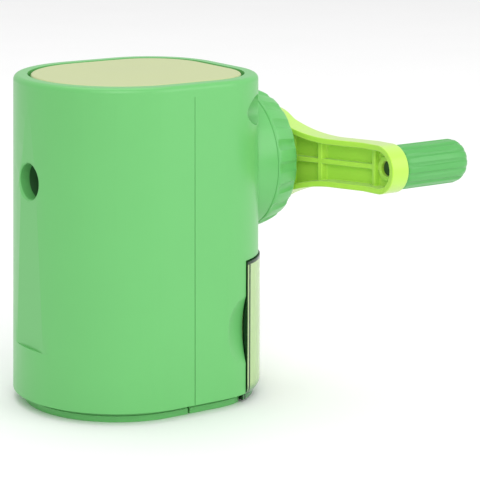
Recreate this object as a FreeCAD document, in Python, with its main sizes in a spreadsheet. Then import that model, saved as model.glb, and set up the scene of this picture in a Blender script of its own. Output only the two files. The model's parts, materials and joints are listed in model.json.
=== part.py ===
"""A hand-crank pencil sharpener with a planetary helical cutter.

+X points to the crank at the rear, -X to the pencil hole at the front, +Z up. The origin lies under the
middle of the body, on the plane that it stands on. The pencil, the carrier and the crank share one axis
along X, at the height axis_z.
"""

import FreeCAD, Part
import math
import os
import re

import Sketcher
from FreeCAD import Placement, Rotation, Vector

doc = FreeCAD.newDocument("pencil_sharpener")

# ---------------------------------------------------------------- sizes, in millimetres and degrees
SIZES = [
    # body shells
    ("body_half_width", 30.15, "half the width, halfway up"),
    ("body_height", 94.7, "top of the rim above the table"),
    ("front_arc_x", -4.35, "centre of the half-round front"),
    ("corner_x", 12.1, "centre of the rear corner arcs"),
    ("corner_radius", 22.4, "rear corners, halfway up"),
    ("wall_foot", 3.4, "underside of the walls and floors"),
    ("draft", 0.7, "moulding draft of the walls"),
    ("wall", 2.2, "shell wall"),
    ("floor_thickness", 1.6, "shell floors"),
    ("top_thickness", 3.4, "top wall round the lid"),
    ("edge_round", 1.6, "round of the top edge"),
    ("seam_x", 1.57, "rear edge of the front shell's wall"),
    ("shell_gap", 0.15, "between the two shells"),
    ("skirt_inset", 2.7, "foot skirt behind the wall"),
    ("skirt_step", 0.35, "upper half of the skirt behind its lower half"),
    ("skirt_step_z", 1.8, "height of that step"),
    ("skirt_wall", 2.0, "foot skirt"),
    ("skirt_low", 0.05, "lower edge of the skirt above the table"),
    ("skirt_notch", 0.6, "gap between the two skirts"),
    ("facet_depth", 0.45, "flat facet on the front, behind the round"),
    ("facet_low", 18.6, "lower end of the facet"),
    ("lid_inset", 5.4, "lid edge behind the outer wall"),
    ("lid_gap", 0.9, "groove round the lid"),
    ("lid_thickness", 2.0, "lid plate"),
    ("lid_round", 0.7, "round of the lid edge"),
    ("lid_sink", 0.05, "lid below the rim"),
    ("lid_peg", 1.5, "radius of the lid pegs"),
    ("lid_peg_x", 17.0, "lid pegs from the middle, along X"),
    ("lid_peg_y", 14.0, "lid pegs from the middle, along Y"),
    ("peg_play", 0.1, "round each lid peg"),
    ("base_ring_inset", 6.0, "rubber ring under the base, behind the wall"),
    ("base_ring_width", 4.0, "rubber ring under the base"),
    # main axis, pencil hole and guide
    ("axis_z", 66.5, "height of the pencil and crank axis"),
    ("hole_radius", 5.07, "pencil hole in the front wall"),
    ("hole_lip", 0.45, "chamfer of the pencil hole"),
    ("hole_wall", 3.4, "front wall thickness at the hole"),
    ("guide_flange", 9.0, "radius of the guide's flange"),
    ("guide_flange_length", 2.0, "thickness of the guide's flange"),
    ("guide_tube", 7.4, "outer radius of the guide's tube"),
    ("guide_bore", 4.4, "bore of the guide, for pencils up to 8 mm"),
    ("spigot_radius", 6.1, "journal on the guide that the carrier turns on"),
    ("boss_wall", 2.4, "wall of the boss round the guide"),
    ("boss_length", 3.6, "length of that boss behind the flange seat"),
    ("seat_play", 0.1, "guide flange in its seat"),
    ("journal_play", 0.08, "radial play of shafts in their bores"),
    # cutter, gears and carrier
    ("apex_x", 25.0, "point of the sharpened pencil"),
    ("cutter_radius", 6.0, "over the cutting edges"),
    ("cutter_length", 26.0, "helical cutter"),
    ("cutter_past_apex", 1.5, "cutter beyond the pencil point"),
    ("cutter_tilt", 11.0, "half the pencil's cone angle"),
    ("cutter_edges", 12, "cutting edges"),
    ("edge_depth", 1.0, "depth between cutting edges"),
    ("cutter_twist", 140.0, "twist of the edges over the cutter"),
    ("pin_radius", 1.5, "steel pin of the cutter"),
    ("pin_play", 0.05, "cutter on its pin"),
    ("pinion_near", 5.0, "front of the pinion behind the apex, along the pin"),
    ("pinion_width", 3.5, "face width of the pinion"),
    ("pinion_teeth", 15, "teeth"),
    ("ring_teeth", 27, "teeth"),
    ("tip_height", 0.45, "tooth above the pitch circle"),
    ("root_depth", 1.0, "tooth below the pitch circle"),
    ("backlash", 0.36, "taken off each tooth at the pitch circle"),
    ("hub_radius", 15.5, "front hub of the carrier"),
    ("hub_rear_x", -1.0, "rear face of the front hub"),
    ("hub_length", 5.5, "front hub"),
    ("cradle_radius", 9.8, "outside of the cradle under the cutter"),
    ("cradle_bore", 6.6, "inside of the cradle"),
    ("cradle_drop", 3.8, "top of the cradle below the axis"),
    ("plate_radius", 14.6, "rear plate of the carrier"),
    ("plate_x", 37.2, "front face of the rear plate"),
    ("plate_thickness", 3.4, "rear plate"),
    ("spigot_length", 1.4, "drive shaft inside the rear plate"),
    ("shaft_radius", 5.0, "journal of the drive shaft"),
    ("square_side", 7.0, "square end of the drive shaft"),
    ("square_play", 0.05, "crank hub on the square, each side"),
    ("square_length", 4.2, "square end"),
    # gear housing
    ("collar_wall", 3.1, "collar on the rear shell, round the boss"),
    ("collar_x", 27.0, "front face of the collar"),
    ("collar_rear_x", 37.1, "rear face of the collar"),
    ("housing_boss", 17.8, "boss of the housing in the collar"),
    ("housing_play", 0.1, "radial play of the boss"),
    ("ring_x", 37.3, "front edge of the fluted ring"),
    ("ring_rear_x", 45.5, "rear edge of the fluted ring"),
    ("ring_over_boss", 3.4, "fluted ring over the boss, front"),
    ("ring_drop", 2.0, "the ring's rear edge below its front edge"),
    ("ring_edge", 0.8, "chamfer of the fluted ring"),
    ("flutes", 20, "scallops round the ring"),
    ("flute_radius", 4.0, "scallop"),
    ("flute_depth", 0.7, "scallop"),
    ("housing_wall", 1.8, "wall of the boss round the gears"),
    ("housing_wall_x", 41.5, "rear wall of the housing, inside"),
    ("lug_height", 1.5, "bayonet lugs above the boss"),
    ("lug_width", 9.0, "bayonet lugs, across"),
    ("lug_length", 1.6, "bayonet lugs, along X"),
    ("lug_play", 0.1, "lugs to the collar"),
    ("bayonet_turn", 45.0, "turn that frees the housing"),
    ("ring_gear_x", 29.0, "front face of the ring gear"),
    ("ring_gear_width", 6.0, "ring gear"),
    ("washer_thickness", 0.8, "steel and nylon washers"),
    ("washer_play", 0.05, "each side of the thrust washer"),
    ("thrust_radius", 9.0, "thrust washer"),
    # crank, knob and their fasteners
    ("crank_x", 46.1, "front face of the crank hub"),
    ("crank_rear_x", 52.4, "rear face of the crank hub"),
    ("crank_tip_x", 54.6, "front face of the crank's tip"),
    ("crank_tip_rear_x", 60.6, "rear face of the crank's tip"),
    ("crank_radius", 44.5, "crank axis to knob axis"),
    ("crank_rise", 1.8, "angle of the crank above level, at rest"),
    ("crank_hub", 14.0, "hub radius"),
    ("crank_neck", 7.1, "half the width of the arm"),
    ("crank_blend_end", 27.0, "where the hub has blended into the arm"),
    ("crank_bend_in", 9.0, "where the arm starts to slant"),
    ("crank_bend_out", 38.0, "where the slant ends"),
    ("channel_floor", 2.0, "rear wall of the channel"),
    ("channel_flange", 1.7, "flanges of the channel"),
    ("channel_start", 11.2, "inner end of the channel"),
    ("rib_thickness", 1.5, "ribs in the channel"),
    ("rib_drop", 2.2, "ribs below the flange"),
    ("rib_in", 21.3, "inner cross rib"),
    ("rib_out", 40.2, "outer cross rib"),
    ("tip_boss", 3.6, "boss round the knob pin"),
    ("tip_boss_drop", 3.3, "boss below the flange"),
    ("rivet_recess", 2.2, "radius of the recess over the rivet"),
    ("rivet_recess_depth", 4.9, "depth of that recess"),
    ("knob_pin_neck", 1.5, "pin through the arm"),
    ("knob_collar", 3.4, "collar between arm and knob"),
    ("knob_gap", 0.7, "arm to knob"),
    ("knob_radius", 6.45, "grip"),
    ("knob_length", 23.7, "grip"),
    ("knob_flutes", 14, "flutes along the grip"),
    ("knob_flute_radius", 1.8, "flute"),
    ("knob_flute_depth", 0.3, "flute"),
    ("knob_round", 3.0, "round of the free end"),
    ("knob_pin_radius", 2.05, "pin inside the knob"),
    ("knob_pin_length", 17.5, "pin inside the knob"),
    ("screw_recess", 6.2, "radius of the recess in the hub"),
    ("screw_recess_x", 50.6, "floor of that recess"),
    ("crank_washer_radius", 5.4, "steel washer under the crank screw"),
    ("screw_head", 2.9, "head radius of the screws"),
    ("screw_head_height", 1.8, "head height of the screws"),
    ("screw_shank", 1.25, "shank radius of the screws"),
    ("screw_bite", 9.0, "crank screw in the shaft"),
    # shell screws
    ("shell_screw_inset", 6.55, "shell screws behind the widest part of the side"),
    ("shell_screw_drop", 9.9, "shell screws below the top of the rim"),
    ("pocket_radius", 4.3, "screw pockets in the rear corners"),
    ("pocket_wall", 1.4, "wall round the pockets"),
    ("pocket_floor_x", 17.0, "floor of the pockets"),
    ("pocket_floor", 3.0, "thickness of that floor"),
    ("pilot_boss", 4.0, "bosses in the front shell"),
    ("pilot_length", 12.0, "bosses in the front shell"),
    ("screw_play", 0.2, "shell screws in their holes"),
    # drawer
    ("drawer_edge_x", 20.65, "side edges of the drawer panel"),
    ("drawer_top", 42.3, "top of the panel"),
    ("drawer_low", 2.2, "bottom of the panel"),
    ("drawer_gap", 0.25, "round the panel"),
    ("panel_proud", 0.5, "panel outside the body"),
    ("panel_wall", 1.8, "panel"),
    ("panel_round", 3.2, "round of the panel's lower edge"),
    ("lip_inset", 1.0, "lip under the panel, behind the body wall"),
    ("lip_low", 0.9, "lower edge of the lip"),
    ("tray_front_x", 2.0, "front wall of the tray"),
    ("tray_low", 5.3, "underside of the tray"),
    ("tray_top", 38.3, "top of the tray"),
    ("tray_inset", 5.15, "tray sides behind the widest part of the wall"),
    ("tray_wall", 1.4, "tray"),
    ("skirt_end_x", 20.3, "where the skirt stops for the drawer"),
    ("scoop_x", 19.4, "centre of the finger scoops beside the drawer"),
    ("scoop_z", 22.8, "centre of the finger scoops"),
    ("scoop_radius", 9.1, "finger scoops"),
    ("scoop_depth", 1.45, "finger scoops"),
]

sizes = doc.addObject("Spreadsheet::Sheet", "Sizes")
for row, (alias, value, note) in enumerate(SIZES, start=1):
    sizes.set(f"A{row}", alias)
    sizes.set(f"B{row}", str(value))
    sizes.set(f"C{row}", note)
    sizes.setAlias(f"B{row}", alias)
doc.recompute()
ALIASES = {alias for alias, _, _ in SIZES}

# ---------------------------------------------------------------- sizes that follow from those
# each is an expression, so that it follows the sheet
facet_x = "(front_arc_x - body_half_width + facet_depth)"
screw_y = "(body_half_width - shell_screw_inset)"
screw_z = "(body_height - shell_screw_drop)"
tray_side = "(body_half_width - tray_inset)"
collar_radius = "(housing_boss + housing_play + collar_wall)"
ring_front = "(housing_boss + ring_over_boss)"
ring_rear = f"({ring_front} - ring_drop)"
housing_bore = "(housing_boss - housing_wall)"
spread = "((body_height - wall_foot) / 2 * tan(draft))"
top_wall_z = "(body_height - top_thickness)"
floor_z = "(wall_foot + floor_thickness)"
seat_x = f"({facet_x} + hole_wall)"
flange_rear_x = f"({seat_x} + guide_flange_length)"
apex_rise = "(cutter_radius / cos(cutter_tilt))"
pinion_rise = f"({apex_rise} - (pinion_near + pinion_width / 2) * sin(cutter_tilt))"
gear_module = f"(2 * {pinion_rise} / (ring_teeth - pinion_teeth))"
pinion_pitch = f"({gear_module} * pinion_teeth / 2)"
ring_pitch = f"({gear_module} * ring_teeth / 2)"
plate_rear_x = "(plate_x + plate_thickness)"
shaft_end_x = "(crank_x + square_length)"
lug_front_x = "(collar_x - lug_play - lug_length)"
blend_radius = (
    "((crank_blend_end * crank_blend_end + crank_neck * crank_neck - crank_hub * crank_hub)"
    " / (2 * (crank_hub - crank_neck)))"
)
knob_x = "(crank_tip_rear_x + knob_gap)"
notch_x = "(seam_x + shell_gap / 2)"
far = "200"  # longer than the whole object

# ---------------------------------------------------------------- making objects bound to the sheet
ALONG = {
    "X": Rotation(Vector(0, 1, 0), 90),
    "Y": Rotation(Vector(1, 0, 0), -90),
    "Z": Rotation(),
}
UP = Vector(0, 0, 1)
REARWARDS = Vector(1, 0, 0)
nodes = []


def bound(expression):
    """The expression with each alias named as a cell of the sheet."""
    return re.sub(
        r"[a-z_]+[a-z]\b", lambda m: "Sizes." + m[0] if m[0] in ALIASES else m[0], str(expression)
    )


def number(expression):
    """What the expression comes to now."""
    return float(sizes.evalExpression(bound(expression)))


def bind(thing, **properties):
    for name, expression in properties.items():
        thing.setExpression(name, bound(expression))
    return thing


def place(thing, x="0", y="0", z="0", turn=Rotation()):
    thing.Placement = Placement(Vector(number(x), number(y), number(z)), turn)
    for axis, expression in zip("xyz", (x, y, z)):
        thing.setExpression(f"Placement.Base.{axis}", bound(expression))
    return thing


def cylinder(name, radius, length, x="0", y="0", z="0", along="X"):
    """A cylinder from (x, y, z) for a length along an axis."""
    solid = bind(doc.addObject("Part::Cylinder", name), Radius=radius, Height=length)
    return place(solid, x, y, z, ALONG[along])


def cone(name, radius, end_radius, length, x="0", y="0", z="0", along="X"):
    """A cone or a conical band from (x, y, z) for a length along an axis."""
    solid = bind(doc.addObject("Part::Cone", name), Radius1=radius, Radius2=end_radius, Height=length)
    return place(solid, x, y, z, ALONG[along])


def box(name, x, y, z):
    """A box between the lowest and highest x, y and z, each given as a pair."""
    solid = doc.addObject("Part::Box", name)
    pairs = zip(("Length", "Width", "Height"), (x, y, z))
    bind(solid, **{side: f"({high}) - ({low})" for side, (low, high) in pairs})
    return place(solid, x[0], y[0], z[0])


def joined(name, *solids):
    result = doc.addObject("Part::MultiFuse", name)
    result.Shapes = list(solids)
    result.Refine = True
    return result


def without(name, base, *tools):
    """The base with all the tools cut away."""
    result = doc.addObject("Part::Cut", name)
    result.Base = base
    result.Tool = tools[0] if len(tools) == 1 else joined(name + "_cuts", *tools)
    result.Refine = True
    return result


def shared(name, first, second):
    result = doc.addObject("Part::Common", name)
    result.Base = first
    result.Tool = second
    result.Refine = True
    return result


def gathered(name, *solids):
    """Separate solids in one node."""
    result = doc.addObject("Part::Compound", name)
    result.Links = list(solids)
    return result


def node(name, thing):
    thing.Label = name
    nodes.append(thing)
    return thing


def origin_plane(body, role):
    return next(f for f in body.Origin.OriginFeatures if f.Role == role)


def settle(thing):
    """Work out one object and what it rests on."""
    doc.recompute([thing])


def new_body(name):
    body = doc.addObject("PartDesign::Body", name)
    settle(body)
    return body


def new_sketch(body, name, role, height="0"):
    """A sketch on one of the body's own planes, lifted along the plane's normal."""
    sketch = body.newObject("Sketcher::SketchObject", name)
    sketch.AttachmentSupport = [(origin_plane(body, role), "")]
    sketch.MapMode = "FlatFace"
    sketch.setExpression("AttachmentOffset.Base.z", bound(height))
    return sketch


def dimension(sketch, kind, *items):
    """A constraint whose value, the last item, is an expression."""
    *where, expression = items
    index = sketch.addConstraint(Sketcher.Constraint(kind, *where, number(expression)))
    sketch.setExpression(f"Constraints[{index}]", bound(expression))


def centre_at(sketch, curve, x, y):
    """Hold an arc's or circle's centre at (x, y) on the sketch."""
    for kind, expression in (("DistanceX", x), ("DistanceY", y)):
        dimension(sketch, kind, -1, 1, curve, 3, expression)


def polygon(sketch, corners):
    """Straight sides between corners, each a pair of expressions."""
    points = [Vector(number(x), number(y), 0) for x, y in corners]
    for start, end in zip(points, points[1:] + points[:1]):
        sketch.addGeometry(Part.LineSegment(start, end))
    for side in range(len(points)):
        after = (side + 1) % len(points)
        sketch.addConstraint(Sketcher.Constraint("Coincident", side, 2, after, 1))
        dimension(sketch, "DistanceX", -1, 1, side, 1, corners[side][0])
        dimension(sketch, "DistanceY", -1, 1, side, 1, corners[side][1])


def circle(sketch, x, y, radius):
    middle = Vector(number(x), number(y), 0)
    curve = sketch.addGeometry(Part.Circle(middle, Vector(0, 0, 1), number(radius)))
    centre_at(sketch, curve, x, y)
    dimension(sketch, "Radius", curve, radius)


def arc(sketch, x, y, radius, start, end):
    """An arc by its centre, radius and angles in degrees, anticlockwise."""
    full = Part.Circle(Vector(number(x), number(y), 0), Vector(0, 0, 1), number(radius))
    return sketch.addGeometry(Part.ArcOfCircle(full, math.radians(start), math.radians(end)))


def line(sketch, x0, y0, x1, y1):
    start = Vector(number(x0), number(y0), 0)
    end = Vector(number(x1), number(y1), 0)
    return sketch.addGeometry(Part.LineSegment(start, end))


def smooth(sketch, *joints):
    """Join curve ends so that the outline runs on smoothly."""
    for first, first_end, second, second_end in joints:
        sketch.addConstraint(Sketcher.Constraint("Tangent", first, first_end, second, second_end))


def pad(body, sketch, length, taper=None, both_ways=False):
    feature = body.newObject("PartDesign::Pad", sketch.Name + "_pad")
    feature.Profile = sketch
    bind(feature, Length=length)
    if taper:
        bind(feature, TaperAngle=taper)
    feature.Midplane = both_ways
    settle(body)
    return feature


def turned_cut(body, sketch, length, count):
    """A pocket along the sketch's normal, repeated round that normal."""
    pocket = body.newObject("PartDesign::Pocket", sketch.Name + "_pocket")
    pocket.Profile = sketch
    pocket.Reversed = True
    bind(pocket, Length=length)
    settle(body)
    return repeat(body, pocket, sketch, count)


def repeat(body, feature, sketch, count):
    """Repeat a cut round the normal of a sketch, through its origin."""
    before = body.Shape.Volume
    pattern = body.newObject("PartDesign::PolarPattern", feature.Name + "_pattern")
    pattern.Originals = [feature]
    pattern.Axis = (sketch, ["N_Axis"])
    pattern.Angle = 360
    bind(pattern, Occurrences=count)
    body.Tip = pattern
    settle(body)
    if body.Shape.Volume >= before:
        raise RuntimeError(f"{body.Name}: the repeated cut removed nothing")
    return pattern


def plan_block(name, inset, low, high, taper="0 - draft"):
    """A block with the body's plan outline, set in by an inset, between two heights."""
    body = new_body(name)
    sketch = new_sketch(body, name + "_plan", "XY_Plane", low)
    half = f"(body_half_width - ({inset}))"
    corner = f"(corner_radius - ({inset}))"
    corner_y = "(body_half_width - corner_radius)"
    rear = f"(corner_x + {corner})"
    front = arc(sketch, "front_arc_x", "0", half, 90, 270)
    right = line(sketch, "front_arc_x", f"-{half}", "corner_x", f"-{half}")
    right_corner = arc(sketch, "corner_x", f"-{corner_y}", corner, 270, 360)
    back = line(sketch, rear, f"-{corner_y}", rear, corner_y)
    left_corner = arc(sketch, "corner_x", corner_y, corner, 0, 90)
    left = line(sketch, "corner_x", half, "front_arc_x", half)
    order = [(front, 2, right, 1), (right, 2, right_corner, 1), (right_corner, 2, back, 1)]
    order += [(back, 2, left_corner, 1), (left_corner, 2, left, 1), (left, 2, front, 1)]
    smooth(sketch, *order)
    centre_at(sketch, front, "front_arc_x", "0")
    centre_at(sketch, right_corner, "corner_x", f"-{corner_y}")
    centre_at(sketch, left_corner, "corner_x", corner_y)
    dimension(sketch, "Radius", front, half)
    dimension(sketch, "Radius", right_corner, corner)
    dimension(sketch, "Radius", left_corner, corner)
    pad(body, sketch, f"({high}) - ({low})", taper)
    return body


def round_end(body, radius, direction):
    """Round the outer edge of the body's face that lies furthest in a direction."""
    top = max(body.Shape.Faces, key=lambda face: face.CenterOfMass.dot(direction))
    rim = [
        f"Edge{index}"
        for index, edge in enumerate(body.Shape.Edges, start=1)
        if any(edge.isSame(other) for other in top.Edges)
    ]
    plain = body.Tip
    rounded = body.newObject("PartDesign::Fillet", body.Name + "_round")
    rounded.Base = (plain, rim)
    bind(rounded, Radius=radius)
    settle(body)
    return body


# ---------------------------------------------------------------- what both shells are cut from
wide = ("-100", "100")
block = round_end(plan_block("shell_block", f"-{spread}", "wall_foot", "body_height"), "edge_round", UP)
hollow = plan_block("shell_hollow", f"wall - {spread}", floor_z, top_wall_z)
skirt_outer = joined(
    "skirt_outer",
    plan_block("skirt_lower", "skirt_inset", "skirt_low", "skirt_step_z", "0"),
    plan_block("skirt_upper", "skirt_inset + skirt_step", "skirt_low", "wall_foot", "0"),
)
skirt_inner = plan_block("skirt_inner", "skirt_inset + skirt_wall", "0", "wall_foot", "0")
skirt = without("skirt_ring", skirt_outer, skirt_inner)


def both_sides(make):
    """The same tool made on both sides, for y below and above zero."""
    return [make("right", "-1"), make("left", "1")]


# ---------------------------------------------------------------- front shell, with the whole top wall
rear_half = box("rear_half", ("seam_x", "100"), wide, ("-10", top_wall_z))
pilot_bosses = both_sides(
    lambda side, sign: cylinder(
        f"pilot_boss_{side}", "pilot_boss", "pilot_length + 1", "seam_x - pilot_length",
        f"{sign} * {screw_y}", screw_z,
    )
)
boss_outer = "(guide_flange + seat_play + boss_wall)"
boss_rear_x = f"({flange_rear_x} + boss_length)"
guide_boss = cylinder("guide_boss", boss_outer, f"{boss_rear_x} + 50", "-50", "0", "axis_z")
front_hollow = without("front_hollow", hollow, guide_boss, *pilot_bosses)
front_skirt_end = box("front_skirt_end", (f"{notch_x} - skirt_notch / 2", "100"), wide,
                      ("-10", "wall_foot"))
front_skirt = without("front_skirt", skirt, front_skirt_end)
front_wall = without("front_wall", block, rear_half)
front_body = joined("front_body", front_wall, front_skirt)
lid_recess = plan_block(
    "lid_recess", "lid_inset - lid_gap", "body_height - lid_thickness - lid_sink", "body_height + 1", "0"
)
peg_places = [(x, y) for x in ("-lid_peg_x", "lid_peg_x") for y in ("-lid_peg_y", "lid_peg_y")]
peg_holes = [
    cylinder(f"peg_hole_{i}", "lid_peg + peg_play", "20", x, y, "body_height - 10", "Z")
    for i, (x, y) in enumerate(peg_places)
]
pilot_holes = both_sides(
    lambda side, sign: cylinder(
        f"pilot_hole_{side}", "screw_shank", "pilot_length", "seam_x + 1 - pilot_length",
        f"{sign} * {screw_y}", screw_z,
    )
)
facet = box("facet", ("-100", facet_x), wide, ("facet_low", "body_height - 3 * edge_round"))
hole = cylinder("pencil_hole", "hole_radius", "20", f"{facet_x} - 5", "0", "axis_z")
hole_mouth = cone("hole_mouth", "hole_radius + hole_lip + 1", "hole_radius", "hole_lip + 1",
                  f"{facet_x} - 1", "0", "axis_z")
flange_seat = cylinder("flange_seat", "guide_flange + seat_play", "30", seat_x, "0", "axis_z")
front_shell = node(
    "front_shell",
    without("FrontShell", front_body, front_hollow, lid_recess, *peg_holes, *pilot_holes, facet, hole,
            hole_mouth, flange_seat),
)

# ---------------------------------------------------------------- rear shell
front_half = box("front_half", ("-100", "seam_x + shell_gap"), wide, ("-10", "200"))
over_rear = box("over_rear", wide, wide, (top_wall_z, "200"))
collar = cylinder("collar", collar_radius, "collar_rear_x - collar_x", "collar_x", "0", "axis_z")
pockets_solid = both_sides(
    lambda side, sign: cylinder(
        f"pocket_solid_{side}", "pocket_radius + pocket_wall", "100", "pocket_floor_x - pocket_floor",
        f"{sign} * {screw_y}", screw_z,
    )
)
rear_hollow_block = plan_block("rear_hollow_block", f"wall - {spread}", floor_z, "body_height + 5")
rear_hollow = without("rear_hollow", rear_hollow_block, collar, *pockets_solid)
rear_walls = without("rear_walls", block, rear_hollow, front_half, over_rear)
skirt_in_front = box("skirt_in_front", ("-100", f"{notch_x} + skirt_notch / 2"), wide, ("-10", "wall_foot"))
skirt_at_drawer = box("skirt_at_drawer", ("skirt_end_x", "100"), wide, ("-10", "wall_foot"))
rear_skirt = without("rear_skirt", skirt, skirt_in_front, skirt_at_drawer)
rear_body = joined("rear_body", rear_walls, rear_skirt, collar)
collar_bore = cylinder("collar_bore", "housing_boss + housing_play", "50", "collar_x - 5", "0", "axis_z")
housing_turns = [0, 120, 240]


def bayonet_block(name, turn, width, height, x, x_end):
    """A block across the main axis, reaching out to a height above the boss, at a turn from straight up."""
    solid = box(name, (x, x_end), (f"-({width}) / 2", f"({width}) / 2"), ("0", height))
    ring = doc.addObject("Part::Compound", name + "_turned")
    ring.Links = [solid]
    ring.Placement = Placement(Vector(0, 0, number("axis_z")), Rotation(Vector(1, 0, 0), number(turn)))
    ring.setExpression("Placement.Base.z", bound("axis_z"))
    ring.setExpression("Placement.Rotation.Angle", bound(turn))
    return ring


notches = []
for turn in housing_turns:
    notch = bayonet_block(f"notch_{turn}", f"{turn} + bayonet_turn", "lug_width + 6 * housing_play",
                          "housing_boss + lug_height + housing_play", "collar_x - 1", "ring_x + 1")
    notches.append(notch)
pocket_bores = both_sides(
    lambda side, sign: cylinder(
        f"pocket_bore_{side}", "pocket_radius", "100", "pocket_floor_x",
        f"{sign} * {screw_y}", screw_z,
    )
)
screw_holes = both_sides(
    lambda side, sign: cylinder(
        f"screw_hole_{side}", "screw_shank + screw_play", "30", "pocket_floor_x - 20",
        f"{sign} * {screw_y}", screw_z,
    )
)
drawer_door = box("drawer_door", ("drawer_edge_x - drawer_gap", "100"), wide,
                  (floor_z, "drawer_top + drawer_gap"))
under_door = box("under_door", ("drawer_edge_x - drawer_gap", "100"), wide, ("-10", floor_z))
lip_wall = "panel_wall"
floor_left = plan_block("floor_left", f"lip_inset + {lip_wall} + drawer_gap", "0", floor_z, "0")
floor_edge = without("floor_edge", under_door, floor_left)


def scoop_ball(side, sign):
    """A ball that dishes the side wall beside the drawer."""
    ball = doc.addObject("Part::Sphere", f"scoop_{side}")
    ball_radius = "((scoop_radius * scoop_radius + scoop_depth * scoop_depth) / (2 * scoop_depth))"
    reach = f"(corner_radius + {ball_radius} - scoop_depth)"
    along = "((scoop_x - corner_x) / corner_radius)"
    across = f"(body_half_width - corner_radius + {reach} * sqrt(1 - {along} ^ 2))"
    bind(ball, Radius=ball_radius)
    return place(ball, f"corner_x + {reach} * {along}", f"{sign} * {across}", "scoop_z")


rear_shell = node(
    "rear_shell",
    without("RearShell", rear_body, collar_bore, *notches, *pocket_bores, *screw_holes, drawer_door,
            floor_edge, *both_sides(scoop_ball)),
)

# ---------------------------------------------------------------- lid plate let into the top
lid_plate = plan_block("lid_plate", "lid_inset", "body_height - lid_thickness - lid_sink",
                       "body_height - lid_sink", "0")
round_end(lid_plate, "lid_round", UP)
lid_pegs = [
    cylinder(f"lid_peg_{i}", "lid_peg", "lid_thickness + top_thickness / 2",
             x, y, "body_height - lid_thickness - top_thickness / 2 - lid_round", "Z")
    for i, (x, y) in enumerate(peg_places)
]
top_lid = node("top_lid", joined("TopLid", lid_plate, *lid_pegs))

# ---------------------------------------------------------------- pencil guide, pressed into the front boss
guide_end_x = "(hub_rear_x - 0.2)"
guide_solid = joined(
    "guide_solid",
    cylinder("guide_flange_disc", "guide_flange", "guide_flange_length", seat_x, "0", "axis_z"),
    cylinder("guide_tube_body", "guide_tube", f"(hub_rear_x - hub_length - 0.3) - {seat_x}", seat_x,
             "0", "axis_z"),
    cylinder("guide_spigot", "spigot_radius", f"{guide_end_x} - {seat_x}", seat_x, "0", "axis_z"),
)
pencil_guide = node(
    "pencil_guide",
    without("PencilGuide", guide_solid,
            cylinder("guide_bore_cut", "guide_bore", "80", f"{seat_x} - 5", "0", "axis_z"),
            cone("guide_funnel", "hole_radius - 0.1", "guide_bore", "4", seat_x, "0", "axis_z")),
)

# ---------------------------------------------------------------- rubber ring under both floors
base_ring = node(
    "base_ring",
    without("BaseRing", plan_block("base_ring_outer", "base_ring_inset", "0", "wall_foot", "0"),
            plan_block("base_ring_inner", "base_ring_inset + base_ring_width", "-1", "wall_foot + 1", "0")),
)


# ---------------------------------------------------------------- screws
def screw(name, seat, length, y, z, toward_front=True):
    """A pan-head screw along X, with its head behind the seat and its shank in front of it."""
    head = cylinder(name + "_head", "screw_head", "screw_head_height", seat, y, z)
    shank = cylinder(name + "_shank", "screw_shank", length, f"({seat}) - ({length})", y, z)
    slot_x = f"({seat}) + screw_head_height / 2"
    slots = [
        box(name + "_slot_a", (slot_x, f"{slot_x} + 5"), (f"({y}) - 0.35", f"({y}) + 0.35"),
            (f"({z}) - 1.6", f"({z}) + 1.6")),
        box(name + "_slot_b", (slot_x, f"{slot_x} + 5"), (f"({y}) - 1.6", f"({y}) + 1.6"),
            (f"({z}) - 0.35", f"({z}) + 0.35")),
    ]
    return without(name, joined(name + "_solid", head, shank), *slots)


shell_screws = node(
    "shell_screws",
    gathered("ShellScrews", *both_sides(
        lambda side, sign: screw(f"shell_screw_{side}", "pocket_floor_x",
                                 "pocket_floor_x - seam_x + pilot_length - 3",
                                 f"{sign} * {screw_y}", screw_z)
    )),
)

# ---------------------------------------------------------------- gear housing: fluted ring, boss and lugs
ring_slope = "(ring_drop / (ring_rear_x - ring_x))"
front_shoulder = f"({ring_front} - ring_edge * {ring_slope})"
rear_shoulder = f"({ring_rear} + ring_edge * {ring_slope})"
fluted_ring = new_body("FlutedRing")
ring_profile = new_sketch(fluted_ring, "ring_profile", "XZ_Plane")
polygon(ring_profile, [
    ("ring_x", "0"),
    ("ring_x", f"{ring_front} - ring_edge"),
    ("ring_x + ring_edge", front_shoulder),
    ("ring_rear_x - ring_edge", rear_shoulder),
    ("ring_rear_x", f"{ring_rear} - ring_edge"),
    ("ring_rear_x", "0"),
])
ring_turned = fluted_ring.newObject("PartDesign::Revolution", "ring_turned")
ring_turned.Profile = ring_profile
ring_turned.ReferenceAxis = (ring_profile, ["H_Axis"])
settle(fluted_ring)


def flute_end(name, x, past):
    """The flute's circle at a distance past the ring's edge, higher where the cone is wider."""
    sketch = new_sketch(fluted_ring, name, "YZ_Plane", x)
    radius = f"{ring_front} + ({past}) * {ring_slope}"
    circle(sketch, "0", f"{radius} - flute_depth + flute_radius", "flute_radius")
    return sketch


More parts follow.
